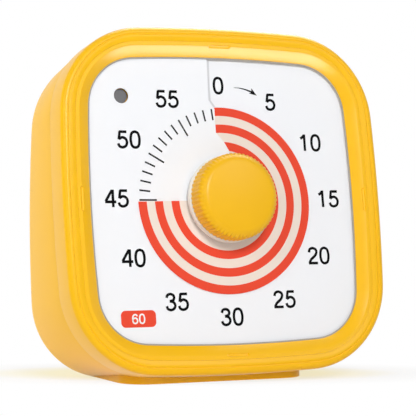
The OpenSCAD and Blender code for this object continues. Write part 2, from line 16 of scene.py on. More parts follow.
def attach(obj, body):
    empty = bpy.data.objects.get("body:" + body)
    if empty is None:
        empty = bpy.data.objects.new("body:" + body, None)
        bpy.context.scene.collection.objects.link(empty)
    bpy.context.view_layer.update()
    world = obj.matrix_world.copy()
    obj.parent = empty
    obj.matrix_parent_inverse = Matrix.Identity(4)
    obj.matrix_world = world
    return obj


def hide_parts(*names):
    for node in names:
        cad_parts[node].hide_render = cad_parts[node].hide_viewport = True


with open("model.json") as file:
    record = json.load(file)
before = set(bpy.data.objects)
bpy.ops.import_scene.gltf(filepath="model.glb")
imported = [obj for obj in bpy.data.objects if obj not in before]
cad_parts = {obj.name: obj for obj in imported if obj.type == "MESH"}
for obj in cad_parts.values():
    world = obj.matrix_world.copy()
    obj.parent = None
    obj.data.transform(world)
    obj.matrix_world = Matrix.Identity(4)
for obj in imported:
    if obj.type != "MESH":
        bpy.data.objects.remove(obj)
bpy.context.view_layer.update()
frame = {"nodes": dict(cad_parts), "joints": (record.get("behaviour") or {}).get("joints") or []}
nodes = frame["nodes"]
print("pieces in the frame:", len(nodes))

# %% [markdown]
# Everything on the front is drawn on the leaning dial, so it is easiest to work in the dial's own frame:
# x to the right, y up the dial, z out of it, in millimetres. The knob's hinge gives the frame its place.
# A 4 x 4 matrix then carries finished meshes to the world, in metres.

# %% The dial's own frame
MM = 0.001
knob_hinge = next(j for j in frame["joints"] if j["name"] == "knob_turn")
dial_centre = Vector(knob_hinge["pos_m"])
out = -Vector(knob_hinge["axis"]).normalized()
right = Vector((1, 0, 0))
up = out.cross(right)
lean = math.atan2(out.z, -out.y)
dial_axes = Matrix((right, up, out)).transposed().to_4x4()
dial_frame = Matrix.Translation(dial_centre) @ dial_axes @ Matrix.Scale(MM, 4)
world_frame = Matrix.Scale(MM, 4)
print("the dial leans back by", round(math.degrees(lean), 2), "degrees")

# %% [markdown]
# The camera stands to the left of the timer, level with the middle of the dial, and looks along a line
# turned 25 degrees to the right. Its long lens keeps the square almost free of perspective. Its place is
# given in radii of the time disc, the unit it was solved in. The photograph is 416 pixels wide, and the
# focal length in pixels turns into millimetres on a 36 mm sensor.

# %% Camera
photo_width, sensor_width = 416, 36
focal_pixels = 1659
disc_radius = 23
eye_in_radii = Vector((-7.549, -15.848, -0.082))
turn, tilt = math.radians(24.84), math.radians(89.985)


def link(obj):
    bpy.context.collection.objects.link(obj)
    return obj


camera_data = bpy.data.cameras.new("camera")
camera_data.lens = sensor_width * focal_pixels / photo_width
camera_data.clip_start = 0.01
camera = link(bpy.data.objects.new("camera", camera_data))
camera.location = eye_in_radii * disc_radius * MM + dial_centre
camera.rotation_euler = (tilt, 0, -turn)
bpy.context.scene.camera = camera
print("lens:", round(camera_data.lens, 1), "mm")

# %% [markdown]
# Materials, the floor and the growing pieces are all trees of nodes. One helper adds a node, sets its
# options and fills its inputs: a value is written in, and another node's socket is wired in. A second
# one asks which rays should find the plain white of a photo studio: those from the camera, and those
# that polished or clear surfaces send on.

# %% Helpers for node trees
def node(tree, kind, inputs=None, **options):
    made = tree.nodes.new(kind)
    for name, value in options.items():
        setattr(made, name, value)
    for name, value in (inputs or {}).items():
        if isinstance(value, bpy.types.NodeSocket):
            tree.links.new(value, made.inputs[name])
        else:
            made.inputs[name].default_value = value
    return made


def math_node(tree, operation, *values):
    return node(tree, "ShaderNodeMath", dict(enumerate(values)), operation=operation).outputs[0]


def sees_background(tree):
    path = node(tree, "ShaderNodeLightPath")
    clear = math_node(tree, "MAXIMUM", path.outputs["Is Camera Ray"], path.outputs["Is Glossy Ray"])
    return math_node(tree, "MAXIMUM", clear, path.outputs["Is Transmission Ray"])


print("helpers:", node.__name__, math_node.__name__, sees_background.__name__)

# %% [markdown]
# The studio floor is a white sweep. Light that bounces off the yellow shell would tint it in a flat oval
# round the foot, so that glow is painted in: a pale yellow there and white further out. The camera mostly
# sees that plain colour, and a fifth of the lit floor near the timer keeps a soft shadow under it.

# %% Floor
floor_half = 4.0
glow_middle, glow_radii = (0.0005, 0.013, 0), (0.05, 0.02, 1)
glow_yellow, white = (1.0, 0.93, 0.66, 1), (1, 1, 1, 1)


def floor_material():
    material = bpy.data.materials.new("floor_white")
    material.use_nodes = True
    tree = material.node_tree
    shader = tree.nodes["Principled BSDF"]
    shader.inputs["Base Color"].default_value = white
    shader.inputs["Roughness"].default_value = 0.9
    shader.inputs["Specular IOR Level"].default_value = 0.1
    where = node(tree, "ShaderNodeTexCoord").outputs["Object"]
    oval = node(tree, "ShaderNodeMapping", {"Vector": where, "Location": glow_middle,
                "Rotation": (0, 0, -turn), "Scale": glow_radii}, vector_type="TEXTURE")
    length = node(tree, "ShaderNodeVectorMath", {0: oval.outputs["Vector"]}, operation="LENGTH")
    distance = length.outputs["Value"]
    fade = node(tree, "ShaderNodeMapRange", {"Value": distance, "From Min": 0.7, "From Max": 1.1})
    # The yellow of the oval is painted bounce light: the camera sees it as plain emission.
    glow = node(tree, "ShaderNodeMix", {"Factor": fade.outputs["Result"], "A": glow_yellow, "B": white},
                data_type="RGBA")
    plain = node(tree, "ShaderNodeEmission", {"Color": glow.outputs["Result"]})
    share = node(tree, "ShaderNodeMapRange",
                 {"Value": distance, "From Min": 0.9, "From Max": 1.6, "To Min": 0.8})
    seen = math_node(tree, "MULTIPLY", share.outputs["Result"], sees_background(tree))
    mix = node(tree, "ShaderNodeMixShader", {"Fac": seen, 1: shader.outputs[0], 2: plain.outputs[0]})
    tree.links.new(mix.outputs[0], tree.nodes["Material Output"].inputs["Surface"])
    return material


floor_mesh = bpy.data.meshes.new("floor")
floor_corners = [(x * floor_half, y * floor_half, 0) for x, y in ((-1, -1), (1, -1), (1, 1), (-1, 1))]
floor_mesh.from_pydata(floor_corners, [], [(0, 1, 2, 3)])
floor_mesh.materials.append(floor_material())
link(bpy.data.objects.new("floor", floor_mesh))
print("floor:", 2 * floor_half, "m square")

# %% [markdown]
# The world is the studio's soft light from all sides, at a low strength that keeps the shadows. Rays that
# should see the backdrop find it plain white instead. The Standard view shows a colour as it was written.

# %% World
world_strength = 0.3


def studio_world():
    world = bpy.data.worlds.new("studio")
    bpy.context.scene.world = world
    world.use_nodes = True
    tree = world.node_tree
    light = tree.nodes["Background"]
    light.inputs["Color"].default_value = white
    light.inputs["Strength"].default_value = world_strength
    seen = node(tree, "ShaderNodeBackground", {"Color": white})
    mix = node(tree, "ShaderNodeMixShader",
               {"Fac": sees_background(tree), 1: light.outputs[0], 2: seen.outputs[0]})
    tree.links.new(mix.outputs[0], tree.nodes["World Output"].inputs["Surface"])


studio_world()
bpy.context.scene.view_settings.view_transform = "Standard"
print("world strength:", world_strength)

# %% [markdown]
# The key lamp is high in front, a little to the left, so the knob throws its shadow down the dial. A side
# lamp and a rim lamp open the left wall. Softboxes are seen only in reflections: they lay the pale sheen
# on the slope over the dial, the top of the housing and the knob's face. Light linking lets a lamp shine
# on one piece alone: the small lamp near the desk will light only the rear shell with its foot, and the
# low softbox only the bezel, so that it stays out of the knob.

# %% Lamps
lamp_table = {  # place in metres, target, size in metres, power in watts, rays that see it
    "key": ((-0.12, -0.6, 0.34), dial_centre, 0.14, 2.0, "diffuse and glossy"),
    "side": ((-0.5, -0.35, 0.3), dial_centre, 0.3, 0.55, "diffuse and glossy"),
    "rim": ((-0.25, 0.2, 0.12), (-0.03, 0.0, 0.05), 0.2, 0.4, "diffuse"),
    "under": ((-0.01, -0.09, 0.004), (0, -0.01, 0.016), 0.08, 0.08, "diffuse"),
    "top_softbox": ((0.05, 0.03, 0.19), (0, -0.01, 0.085), 0.14, 0.3, "glossy"),
    "high_softbox": ((0.27, -0.57, 0.37), dial_centre, 0.24, 0.6, "glossy"),
    "low_softbox": ((0.06, -0.115, 0.004), (0.06, -0.115, 1), 0.1, 0.42, "glossy"),
}


def area_light(name, place, target, size, power, seen_in):
    data = bpy.data.lights.new(name, "AREA")
    data.shape = "DISK"
    data.size = size
    data.energy = power
    obj = link(bpy.data.objects.new(name, data))
    obj.location = place
    obj.rotation_euler = (Vector(target) - Vector(place)).to_track_quat("-Z", "Y").to_euler()
    obj.visible_diffuse = "diffuse" in seen_in
    obj.visible_glossy = "glossy" in seen_in
    return obj


def shine_only_on(light, piece):
    lit = bpy.data.collections.new(light.name + "_lights")
    lit.objects.link(piece)
    light.light_linking.receiver_collection = lit


lamps = {name: area_light(name, *row) for name, row in lamp_table.items()}
print("lamps:", ", ".join(lamps))

# %% [markdown]
# Colours are written as they look on screen, 0 to 255, and turned into the linear values that shaders
# need. Moulded plastic is a smooth gloss with a very fine skin: a little noise drives the roughness and
# the bump, read from Object coordinates so that the grain keeps its real size. Metal is the same recipe
# with its own kind of reflection.

# %% Shader recipes
def srgb(r, g, b):
    def linear(v):
        v /= 255
        return v / 12.92 if v <= 0.04045 else ((v + 0.055) / 1.055) ** 2.4
    return (linear(r), linear(g), linear(b), 1)


def moulded(name, colour, roughness, grain=2500, depth=0.02, spread=0.06, gloss=0.5):
    material = bpy.data.materials.new(name)
    material.use_nodes = True
    tree = material.node_tree
    shader = tree.nodes["Principled BSDF"]
    shader.inputs["Base Color"].default_value = colour
    shader.inputs["Specular IOR Level"].default_value = gloss
    where = node(tree, "ShaderNodeTexCoord").outputs["Object"]
    noise = node(tree, "ShaderNodeTexNoise", {"Vector": where, "Scale": grain, "Detail": 3}).outputs["Fac"]
    skin = node(tree, "ShaderNodeMapRange",
                {"Value": noise, "To Min": roughness - spread, "To Max": roughness + spread})
    bump = node(tree, "ShaderNodeBump", {"Strength": depth, "Distance": 0.0002, "Height": noise})
    tree.links.new(skin.outputs["Result"], shader.inputs["Roughness"])
    tree.links.new(bump.outputs["Normal"], shader.inputs["Normal"])
    return material


def metal(name, colour, roughness):
    material = moulded(name, colour, roughness, grain=900, depth=0.05, spread=0.08)
    material.node_tree.nodes["Principled BSDF"].inputs["Metallic"].default_value = 1
    return material


print("white paper reads", [round(v, 2) for v in srgb(248, 250, 254)[:3]])

# %% [markdown]
# The timer has few finishes. The shells and the knob share one yellow, the knob a shade deeper. The card
# is matt white with matt prints, so hardly any reflection veils the figures. The rest are the plain
# plastics and metals of the pieces inside and behind.

# %% Finishes
imported = len(bpy.data.materials)
yellow = moulded("yellow_plastic", srgb(252, 193, 0), 0.32, gloss=0.3)
knob_yellow = moulded("knob_yellow_plastic", srgb(245, 187, 0), 0.34, gloss=0.3)
card_white = moulded("card_white", srgb(248, 250, 254), 0.7, gloss=0.15)
ink_black = moulded("ink_black", srgb(5, 5, 7), 0.8, gloss=0.1)
ink_grey = moulded("ink_grey", srgb(40, 40, 42), 0.8, gloss=0.1)
# A pale grey of painted shadow: it stands for the shadow that the raised flap throws beside the slit.
shade_grey = moulded("shade_grey", srgb(222, 223, 227), 0.8, gloss=0.1)
# A darker grey of painted shade: it stands for the shade in the gap under the bezel's lip.
gap_shade_grey = moulded("gap_shade_grey", srgb(172, 169, 162), 0.6)
print_red = moulded("print_red", srgb(238, 78, 54), 0.7, gloss=0.12)
print_cream = moulded("print_cream", srgb(243, 229, 218), 0.7, gloss=0.12)
print_white = moulded("print_white", srgb(250, 250, 250), 0.55)
smoke = moulded("smoked_lens", srgb(112, 112, 114), 0.5, gloss=0.3)
collar_pale = moulded("collar_pale", srgb(236, 234, 226), 0.45)
black = moulded("black_plastic", srgb(38, 38, 40), 0.5)
natural = moulded("natural_plastic", srgb(232, 232, 228), 0.5)
board_green = moulded("board_green", srgb(30, 98, 60), 0.4)
sleeve_blue = moulded("cell_sleeve_blue", srgb(52, 92, 150), 0.3)
steel = metal("plain_steel", srgb(200, 202, 204), 0.3)
brass = metal("plain_brass", srgb(214, 178, 96), 0.3)
copper = metal("copper_wire", srgb(200, 120, 70), 0.35)
print("finishes:", len(bpy.data.materials) - imported)

# %% [markdown]
# One family of outlines gives the housing its look: a square with bowed sides and round corners. Two arcs
# describe an eighth of it, and they meet where their tangents agree. Stepping inward by an offset tightens
# the corner a little faster than the side, as the real mouldings do.

# %% Outline family
body_half, body_corner, side_bow = 42.4, 21.9, 469
corner_rate, bow_rate = 1.29, 12.5


def outline_arcs(off):
    half, corner, bow = body_half - off, body_corner - corner_rate * off, side_bow - bow_rate * off
    centre = ((half - bow) + math.sqrt(2 * (bow - corner) ** 2 - (half - bow) ** 2)) / 2
    return half, corner, bow, centre, math.atan2(centre, centre - half + bow)


def outline(off, side_steps=24, corner_steps=36):
    half, corner, bow, centre, meet = outline_arcs(off)
    quarter = []
    for i in range(side_steps):
        a = -meet + 2 * meet * i / side_steps
        quarter.append((half - bow + bow * math.cos(a), bow * math.sin(a)))
    for i in range(corner_steps):
        a = meet + (math.pi / 2 - 2 * meet) * i / corner_steps
        quarter.append((centre + corner * math.cos(a), centre + corner * math.sin(a)))
    turns = [(1, 0), (0, 1), (-1, 0), (0, -1)]
    return [(x * ca - y * sa, x * sa + y * ca) for ca, sa in turns for x, y in quarter]


def ring(off, z, slope=0.0):
    return [(x, y, z + slope * y) for x, y in outline(off)]


def arc(cx, cy, r, start, end, steps):
    angles = [math.radians(start + (end - start) * i / steps) for i in range(steps + 1)]
    return [(cx + r * math.cos(a), cy + r * math.sin(a)) for a in angles]


print("points round the housing:", len(outline(0)))

# %% [markdown]
# A moulding can be described by rings of points that are skinned in turn, which is called a loft. A mesh is
# made from plain lists, moved to its place, and has its normals turned outwards. Smooth shading is then
# broken only at edges that are sharp on the real piece.

# %% Lofts
def mesh_piece(name, points, faces, material, place=dial_frame, smooth=True):
    mesh = bpy.data.meshes.new(name)
    mesh.from_pydata(points, [], faces)
    mesh.transform(place)
    bm = bmesh.new()
    bm.from_mesh(mesh)
    bmesh.ops.recalc_face_normals(bm, faces=bm.faces)
    bm.to_mesh(mesh)
    bm.free()
    mesh.materials.append(material)
    for polygon in mesh.polygons:
        polygon.use_smooth = smooth
    return link(bpy.data.objects.new(name, mesh))


def loft(name, rings, material, loop=False, place=dial_frame):
    n, m = len(rings[0]), len(rings)
    points = [p for row in rings for p in row]
    faces = []
    for j in range(m if loop else m - 1):
        for i in range(n):
            a, b = j * n + i, j * n + (i + 1) % n
            c, d = (j + 1) % m * n + i, (j + 1) % m * n + (i + 1) % n
            faces.append((a, c, d, b))
    if not loop:
        faces.append(tuple(range(n)))
        faces.append(tuple(reversed(range((m - 1) * n, m * n))))
    return mesh_piece(name, points, faces, material, place)


def sharpen(obj, angle=35):
    bm = bmesh.new()
    bm.from_mesh(obj.data)
    for edge in bm.edges:
        edge.smooth = edge.calc_face_angle(0) < math.radians(angle)
    bm.to_mesh(obj.data)
    bm.free()


print("faces between two rings of the housing:", len(outline(0)))

# %% [markdown]
# Holes and notches are cut with Boolean modifiers, whose result is taken as a plain mesh. The cutters are
# simple solids: a rod is a loft of two circles.

# %% Cutting
def circle(x, y, radius, steps):
    angles = [math.tau * i / steps for i in range(steps)]
    return [(x + radius * math.cos(a), y + radius * math.sin(a)) for a in angles]


def rod(radius, low, high, x, y, steps=64):
    circles = [[(px, py, z) for px, py in circle(x, y, radius, steps)] for z in (low, high)]
    return loft("cutter", circles, yellow)


def cut(obj, *cutters, operation="DIFFERENCE"):
    for cutter in cutters:
        modifier = obj.modifiers.new("cut", "BOOLEAN")
        modifier.operation = operation
        modifier.solver = "EXACT"
        modifier.object = cutter
    evaluated = obj.evaluated_get(bpy.context.evaluated_depsgraph_get())
    mesh = bpy.data.meshes.new_from_object(evaluated)
    obj.modifiers.clear()
    obj.data = mesh
    for cutter in cutters:
        bpy.data.objects.remove(cutter)


def print_faces(obj):
    print(obj.name + ":", len(obj.data.polygons), "faces")


print("corners round a rod:", len(circle(0, 0, 1, 64)))

# %% [markdown]
# The front shell is one loft of that outline along a profile, a list of offset and height: seam, side,
# rounded front edge, fine groove, and the wall of the opening. The real one is moulded in one shot, and a
# single closed skin gives its flowing reflections. The plate behind the dial has holes for the shaft and
# for the lamp behind the lens.

# %% Front shell
seam_depth, plate_top, plate_low = 6.8, -1.9, -3.2
shaft_hole, lamp_hole, lens_at = 5.2, 1.75, (-25.9, 25.2)
front_profile = (
    [(2.2, plate_low), (2.2, -seam_depth), (0.45, -seam_depth)]
    + arc(0.35, -seam_depth + 0.25, 0.25, 250, 180, 4)
    + arc(1.45, 0.33, 1.45, 180, 95, 12)
    + [(1.58, 1.75), (1.68, 1.62), (1.82, 1.58), (1.96, 1.62), (2.06, 1.74), (2.2, 1.77), (2.8, 1.66)]
    + arc(3.47, 1.46, 0.04, 90, 0, 4) + [(3.51, plate_top)])
front_shell = loft("front_band", [ring(o, z) for o, z in front_profile], yellow)
cut(front_shell, rod(shaft_hole, -4, -1, 0, 0), rod(lamp_hole, -4, -1, *lens_at))
sharpen(front_shell)
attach(front_shell, "housing")
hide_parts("front_shell")
print_faces(front_shell)

# %% [markdown]
# The bezel ring carries the slope round the dial and its rounded crest. It is a piece of its own that
# presses into the front shell, with a hair-fine seam, and each side has a shallow notch to lift it out. A
# closed loop of rings makes it, and the notch cutter is a rod whose ends taper.

# %% Bezel ring
bezel_profile = (
    [(7.1, -0.25), (7.1, 0.0), (7.02, 0.09)] + arc(4.42, 1.1, 0.4, 62, 90, 5)
    + arc(3.57, 1.46, 0.04, 90, 180, 4) + [(3.53, plate_top), (5.2, plate_top), (5.2, -0.25)])
notch_off, notch_level = 4.7, 1.62
notch_sections = [(-3.0, 0.1), (-2.7, 0.5), (2.7, 0.5), (3.0, 0.1)]


def notch_cutter(quarter):
    circles = [[(px, y, pz) for px, pz in circle(body_half - notch_off, notch_level, r, 24)]
               for y, r in notch_sections]
    place = dial_frame @ Matrix.Rotation(math.radians(90 * quarter), 4, "Z")
    return loft("cutter", circles, yellow, place=place)


bezel = loft("bezel", [ring(o, z) for o, z in bezel_profile], yellow, loop=True)
cut(bezel, *[notch_cutter(quarter) for quarter in range(4)])
sharpen(bezel)
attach(bezel, "housing")
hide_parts("bezel_ring")
shine_only_on(lamps["low_softbox"], bezel)
print_faces(bezel)

# %% [markdown]
# Card and disc are helical sheets of one pitch: the card climbs 0.6 mm in one clockwise turn, so its left
# flap stands in front of the right one at the slit, and the disc keeps half a pitch away from it. Heights
# come from the clockwise angle alone, so everything printed on the card can use the same function. The
# slit steps twice on its way out, as the photograph shows.

# %% Heights of the helical sheets
pitch, card_low, card_thickness = 0.6, -1.05, 0.2
slit = [(6.5, 14), (12.26, 8.5), (16.76, -5.04), (22.63, -3.73), (24.9, -6.79), (34.5, -4.63)]


def slit_angle(r):
    if r <= slit[0][0]:
        return slit[0][1]
    for (r0, a0), (r1, a1) in zip(slit, slit[1:]):
        if r <= r1:
            return a0 + (a1 - a0) * (r - r0) / (r1 - r0)
    return slit[-1][1]


def middle_height(angle):
    return card_low + pitch * angle / 360


def card_height(x, y):
    r, a = math.hypot(x, y), math.degrees(math.atan2(x, y)) % 360
    if a > 180 and a - 360 > slit_angle(r):
        a -= 360
    if a < 180 and a < slit_angle(r):
        a += 360
    return middle_height(a) + card_thickness / 2


print("the card climbs from", round(card_height(0.1, 20), 2), "to", round(card_height(-4, 20), 2), "mm")

# %% [markdown]
# A sheet is a grid of points, thickened to both sides of its middle, with an edge all round. Its faces can
# take several finishes in turn across the rows, which is how the disc gets its stripes. Places on the dial
# are given by radius and clockwise angle from the top, as on a clock.

# %% Sheets
def sheet_edge(n, m):
    first, last = list(range(m)), [(n - 1) * m + j for j in range(m - 2, -1, -1)]
    outer, inner = [i * m + m - 1 for i in range(1, n)], [i * m for i in range(n - 2, 0, -1)]
    return first + outer + last + inner


def sheet(name, rows, thickness, materials):
    n, m = len(rows), len(rows[0])
    s = n * m
    points = [(x, y, z + side * thickness / 2) for side in (1, -1) for row in rows for x, y, z in row]
    faces, slots = [], []
    for i in range(n - 1):
        for j in range(m - 1):
            a = i * m + j
            faces += [(a, a + 1, a + m + 1, a + m), (s + a, s + a + m, s + a + m + 1, s + a + 1)]
            slots += [j % len(materials)] * 2
    edge = sheet_edge(n, m)
    for a, b in zip(edge, edge[1:] + edge[:1]):
        faces.append((a, a + s, b + s, b))
        slots.append(min(a % m, b % m, m - 2) % len(materials))
    obj = mesh_piece(name, points, faces, materials[0])
    for material in materials[1:]:
        obj.data.materials.append(material)
    for polygon, k in zip(obj.data.polygons, slots):
        polygon.material_index = k
    sharpen(obj)
    return obj


def on_circle(radius, angle):
    return radius * math.sin(math.radians(angle)), radius * math.cos(math.radians(angle))


print("a sheet of 3 by 3 points has", len(sheet_edge(3, 3)), "points on its edge")

# %% [markdown]
# The dial card is a stiff white sheet, printed and slit from its hole to its edge. A flat plate with a cut
# would do for a dial that never turns. Here the disc has to pass through the slit, so the card is a sheet
# of spokes that start and end at the slit's own line, and each spoke runs out to the round-cornered rim.

# %% Dial card
card_rings = [6.5, 9.4, 12.26, 14.5, 16.76, 19.7, 22.63, 24.9, 34.5]
card_off, card_steps, rim_margin, window_hole = 6.0, 240, 1, 1.85


def rim(angle):
    y, x = sorted(abs(v) for v in on_circle(1, angle))
    half, corner, bow, centre, meet = outline_arcs(card_off)
    if math.atan2(y, x) < math.atan2(bow * math.sin(meet), half - bow + bow * math.cos(meet)):
        return (half - bow) * x + math.sqrt(bow * bow - ((half - bow) * y) ** 2)
    return centre * (x + y) + math.sqrt(corner * corner - (centre * (x - y)) ** 2)


def card_row(k):
    turned = 360 * k / card_steps
    row = []
    for r in card_rings:
        a = turned + slit_angle(r)
        row.append((*on_circle(min(r, rim(a) - rim_margin), a), middle_height(a)))
    a = turned + slit[-1][1]
    return row + [(*on_circle(rim(a), a), middle_height(a))]


card = sheet("card", [card_row(k) for k in range(card_steps + 1)], card_thickness, [card_white])
cut(card, rod(window_hole, -3, 2, *lens_at))
sharpen(card)
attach(card, "housing")
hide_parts("dial_card")
print("the card's half width:", round(rim(90), 1), "mm")

# %% [markdown]
# Two fine lines on the card are painted shade: a grey ring where it goes under the bezel stands for the
# shade in the gap under its lip, and a pale strip beside the slit for the raised flap's shadow on the
# lower one. On the real timer they are most likely a rim and a shadow. Light this soft would lose them, so
# each is a thin strip of its own, laid just over the card.

# %% Lines round the card
gap_shade_profile = [(7.0, -0.2), (7.0, -0.15), (7.48, -0.15), (7.48, -0.2)]
shade_radii, shade_width, shade_lift = (23.2, 24.9, 27.5, 30, 32.5, 34.85), 0.85, 0.012
shade_start, shade_skew = 0.03, 0.1


# The strip is painted shadow: the raised flap's shadow on the lower flap, beside the slit.
def slit_shade():
    points = []
    for r in shade_radii:
        a = slit_angle(r)
        x, y = on_circle(r, a)
        x, z = x + shade_start, middle_height(a) + card_thickness / 2 + shade_lift
        points += [(x, y, z), (x + shade_width, y + shade_skew, z)]
    faces = [(2 * k, 2 * k + 1, 2 * k + 3, 2 * k + 2) for k in range(len(shade_radii) - 1)]
    return mesh_piece("slit_shade", points, faces, shade_grey)


# This grey ring is painted shade, for the shade in the gap where the card goes under the bezel.
gap_shade_ring = loft("bezel_gap_shade", [ring(o, z) for o, z in gap_shade_profile], gap_shade_grey, loop=True)
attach(gap_shade_ring, "housing")
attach(slit_shade(), "housing")
print_faces(gap_shade_ring)

# %% [markdown]
# The time disc is a thin plastic sheet with printed red and cream rings. It is set to 45 minutes, so three
# quarters of it lie in front of the card and the rest has gone behind. One helical sheet does it, with its
# points at the edges of the rings. A gap of two degrees between its ends lets them pass at the slit.

# %% Time disc
disc_thickness, disc_trim, minutes_set, disc_steps = 0.15, 1.1, 45, 240
stripe_edges = [4.5, 12.38, 14.47, 16.68, 18.78, 20.9, 23.0]


def disc_row(k):
    a = 6 * minutes_set - 360 + disc_trim + (360 - 2 * disc_trim) * k / disc_steps
    return [(*on_circle(r, a), middle_height(a) + pitch / 2) for r in stripe_edges]


disc_rows = [disc_row(k) for k in range(disc_steps + 1)]
disc = sheet("striped_disc", disc_rows, disc_thickness, [print_cream, print_red])
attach(disc, "disc_set")
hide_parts("time_disc")
print("rings on the disc:", len(stripe_edges) - 1)

# %% [markdown]
# Geometry Nodes are the tool for whatever repeats. Two pieces use them, the minute marks and the ribs of
# the knob, so the common parts come first: a tree with named inputs for its sizes, an end that sets the
# material, and a function that runs the tree and keeps its result as a plain mesh.

# %% Helpers for growing trees
def growing_tree(name, sizes, from_mesh=False):
    tree = bpy.data.node_groups.new(name, "GeometryNodeTree")
    tree.interface.new_socket("Geometry", in_out="OUTPUT", socket_type="NodeSocketGeometry")
    if from_mesh:
        tree.interface.new_socket("Geometry", in_out="INPUT", socket_type="NodeSocketGeometry")
    for size, value in sizes.items():
        kind = "NodeSocketInt" if isinstance(value, int) else "NodeSocketFloat"
        tree.interface.new_socket(size, in_out="INPUT", socket_type=kind).default_value = value
    tree.interface.new_socket("Material", in_out="INPUT", socket_type="NodeSocketMaterial")
    return tree, node(tree, "NodeGroupInput").outputs


def vector(tree, x, y, z):
    return node(tree, "ShaderNodeCombineXYZ", {"X": x, "Y": y, "Z": z}).outputs[0]


def end_painted(tree, geometry, material):
    paint = node(tree, "GeometryNodeSetMaterial", {"Geometry": geometry, "Material": material})
    node(tree, "NodeGroupOutput", {"Geometry": paint.outputs[0]})


def grow(obj, tree, place, **inputs):
    modifier = obj.modifiers.new("grow", "NODES")
    modifier.node_group = tree
    sockets = {s.name: s.identifier for s in tree.interface.items_tree if s.in_out == "INPUT"}
    for key, value in inputs.items():
        modifier[sockets[key.replace("_", " ")]] = value
    evaluated = obj.evaluated_get(bpy.context.evaluated_depsgraph_get())
    mesh = bpy.data.meshes.new_from_object(evaluated)
    obj.modifiers.clear()
    obj.data = mesh
    mesh.transform(place)
    return obj


print("helpers:", growing_tree.__name__, vector.__name__, end_painted.__name__, grow.__name__)

# %% [markdown]
# The 60 minute marks are printed on the card, every fifth one longer. They could be sixty copied bars, but
# a tree says the rule once: points in a ring, a thin bar on each, turned outwards, stretched on every
# fifth, and lifted along the card's climb.

# %% Minute marks
mark_sizes = {"Count": 60, "Outer radius": 22.65, "Short length": 2.8, "Long length": 4.5,
              "Width": 0.42, "Thickness": 0.02, "Climb": pitch, "Base height": 0.0}
mark_lift = 0.01


def mark_ring_tree():
    tree, given = growing_tree("mark_ring", mark_sizes)
    index = node(tree, "GeometryNodeInputIndex").outputs[0]
    share = math_node(tree, "DIVIDE", index, given["Count"])
    angle = math_node(tree, "MULTIPLY", share, math.tau)
    is_long = math_node(tree, "COMPARE", math_node(tree, "MODULO", index, 5), 0)
    extra = math_node(tree, "SUBTRACT", given["Long length"], given["Short length"])
    length = math_node(tree, "ADD", given["Short length"], math_node(tree, "MULTIPLY", is_long, extra))
    middle = math_node(tree, "SUBTRACT", given["Outer radius"], math_node(tree, "DIVIDE", length, 2))
    across = math_node(tree, "MULTIPLY", middle, math_node(tree, "SINE", angle))
    along = math_node(tree, "MULTIPLY", middle, math_node(tree, "COSINE", angle))
    climb = math_node(tree, "MULTIPLY", share, given["Climb"])
    place = vector(tree, across, along, math_node(tree, "ADD", climb, given["Base height"]))
    points = node(tree, "GeometryNodePoints", {"Count": given["Count"]})
    spread = node(tree, "GeometryNodeSetPosition", {"Geometry": points.outputs[0], "Position": place})
    bar = node(tree, "GeometryNodeMeshCube", {"Size": vector(tree, given["Width"], 1, given["Thickness"])})
    lay = node(tree, "GeometryNodeInstanceOnPoints", {
        "Points": spread.outputs[0], "Instance": bar.outputs[0],
        "Rotation": vector(tree, 0, 0, math_node(tree, "MULTIPLY", angle, -1)),
        "Scale": vector(tree, 1, length, 1)})
    solid = node(tree, "GeometryNodeRealizeInstances", {0: lay.outputs[0]})
    end_painted(tree, solid.outputs[0], given["Material"])
    return tree


marks = link(bpy.data.objects.new("minute_marks", bpy.data.meshes.new("minute_marks")))
mark_level = card_low + card_thickness / 2 + mark_lift
marks = grow(marks, mark_ring_tree(), dial_frame, Base_height=mark_level, Material=ink_grey)
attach(marks, "housing")
print("minute marks:", len(marks.data.polygons) // 6)

# %% [markdown]
# The numbers are a plain sans serif. A font would bring its own shapes, so each figure is drawn as a few
# pen strokes in a box one unit high: straight lines, open curves and closed loops, each given by a
# handful of points on its centre line.

# %% Figures as pen strokes
figure_strokes = {
    "0": [("loop", [(0.31, 0.96), (0.12, 0.85), (0.055, 0.5), (0.12, 0.15),
                    (0.31, 0.04), (0.5, 0.15), (0.565, 0.5), (0.5, 0.85)])],
    "1": [("line", [(0.34, 1.0), (0.34, 0.0)]),
          ("curve", [(0.33, 0.965), (0.24, 0.84), (0.09, 0.745)])],
    "2": [("curve", [(0.075, 0.7), (0.12, 0.87), (0.3, 0.955), (0.5, 0.87),
                     (0.54, 0.7), (0.44, 0.5), (0.2, 0.29), (0.07, 0.07)]),
          ("line", [(0.02, 0.055), (0.6, 0.055)])],
    "3": [("curve", [(0.07, 0.745), (0.14, 0.9), (0.3, 0.955), (0.45, 0.9),
                     (0.515, 0.76), (0.45, 0.6), (0.25, 0.545)]),
          ("curve", [(0.25, 0.545), (0.46, 0.49), (0.56, 0.3), (0.48, 0.115),
                     (0.3, 0.045), (0.13, 0.11), (0.06, 0.27)])],
    "4": [("line", [(0.46, 1.0), (0.46, 0.0)]),
          ("line", [(0.42, 0.97), (0.04, 0.34)]),
          ("line", [(0.0, 0.3), (0.64, 0.3)])],
    "5": [("line", [(0.13, 0.945), (0.56, 0.945)]),
          ("line", [(0.165, 0.97), (0.1, 0.5)]),
          ("curve", [(0.1, 0.515), (0.3, 0.62), (0.49, 0.54), (0.565, 0.34),
                     (0.49, 0.13), (0.3, 0.045), (0.12, 0.11), (0.055, 0.27)])],
    "6": [("loop", [(0.31, 0.6), (0.13, 0.5), (0.075, 0.32), (0.14, 0.12),
                    (0.32, 0.045), (0.5, 0.13), (0.56, 0.33), (0.49, 0.52)]),
          ("curve", [(0.54, 0.78), (0.47, 0.91), (0.32, 0.955), (0.15, 0.86), (0.07, 0.6), (0.075, 0.32)])],
}
pen, advance, stretch = 0.158, 0.777, 1.06
